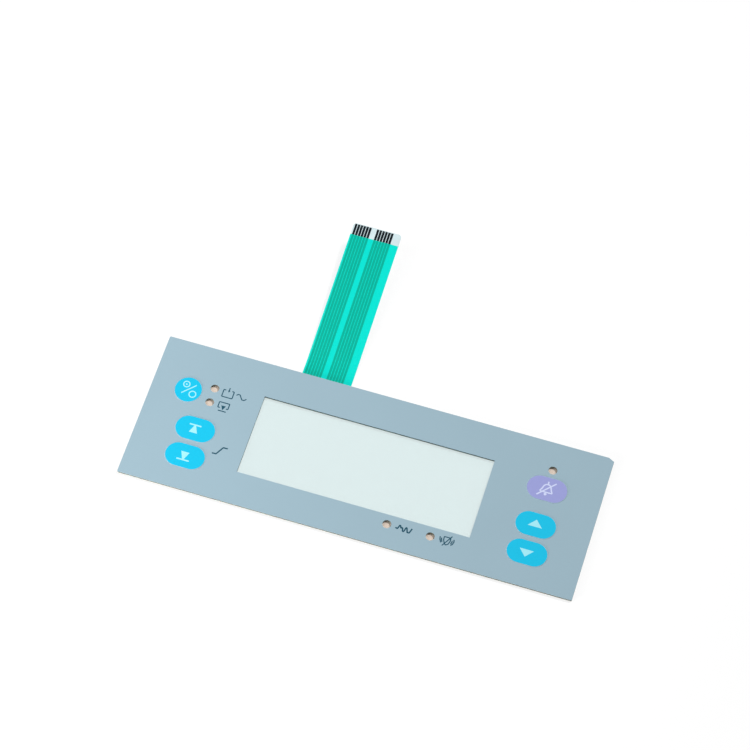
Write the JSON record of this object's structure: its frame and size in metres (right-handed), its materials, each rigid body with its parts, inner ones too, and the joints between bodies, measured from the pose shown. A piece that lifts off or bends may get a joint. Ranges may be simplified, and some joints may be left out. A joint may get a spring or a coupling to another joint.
{
  "type": "membrane keypad",
  "caption": "Flat membrane keypad: printed overlay with embossed keys, a display window and lamp sight holes on a snap dome stack, with a flat contact tail.",
  "frame": {"origin": "middle of the panel's outline, on the rear face of the release liner", "axes": "+X along the panel to the right as the keys are read, +Y towards the tail, +Z out of the printed face"},
  "size_m": [0.19, 0.1358, 0.0083],
  "materials": {
    "overlay_film": "satin blue-grey print on polyester",
    "cyan_ink": "satin cyan print",
    "lavender_ink": "satin lavender print",
    "clear_polyester": "clear film",
    "kraft_paper": "smooth siliconed kraft, pale tan",
    "adhesive": "dull",
    "circuit_polyester": "milky film",
    "white_polyester": "satin white film",
    "dark_polyester": "dull dark grey film",
    "silver_ink": "matte silver print",
    "insulating_ink": "glossy green-blue print",
    "carbon_ink": "matte black print",
    "dome_steel": "bright spring steel"
  },
  "bodies": {
    "root": {"release_liner": "kraft_paper", "rear_adhesive": "adhesive", "circuit_film": "circuit_polyester", "silver_tracks": "silver_ink", "insulating_coat": "insulating_ink", "carbon_fingers": "carbon_ink", "tail_stiffener": "white_polyester", "dome_spacer": "dark_polyester", "dome_on_standby": "dome_steel", "dome_upper_limit": "dome_steel", "dome_lower_limit": "dome_steel", "dome_alarm_silence": "dome_steel", "dome_up": "dome_steel", "dome_down": "dome_steel", "dome_retainer": "dark_polyester", "overlay_adhesive": "adhesive", "display_window": "clear_polyester", "graphic_overlay": "overlay_film", "key_on_standby": "cyan_ink", "key_upper_limit": "cyan_ink", "key_lower_limit": "cyan_ink", "key_alarm_silence": "lavender_ink", "key_up": "cyan_ink", "key_down": "cyan_ink"}
  },
  "joints": []
}
